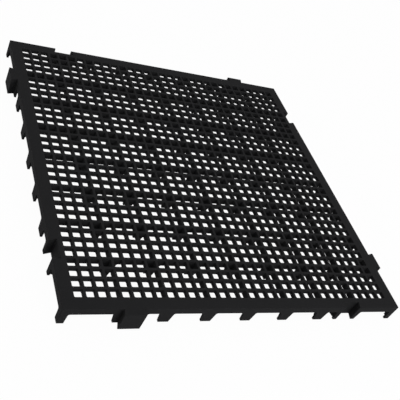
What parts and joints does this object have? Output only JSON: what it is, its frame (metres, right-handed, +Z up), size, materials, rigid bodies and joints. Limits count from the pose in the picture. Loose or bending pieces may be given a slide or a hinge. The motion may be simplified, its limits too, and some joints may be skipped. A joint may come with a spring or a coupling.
{
  "type": "modular plastic floor tile",
  "caption": "Square openwork floor tile moulded in black plastic: a grid of square drain holes on ribs with cross-shaped feet, and a tab and a notch on every side.",
  "frame": {"origin": "centre of the tile in plan, on the floor plane that its feet stand on", "axes": "+Z up out of the top face; X and Y along the sides of the square"},
  "size_m": [0.518, 0.518, 0.027],
  "materials": {
    "black_plastic": "satin moulded, fine even grain"
  },
  "bodies": {
    "root": {"tile_front_left": "black_plastic", "tile_front_right": "black_plastic", "tile_back_right": "black_plastic", "tile_back_left": "black_plastic"}
  },
  "joints": []
}
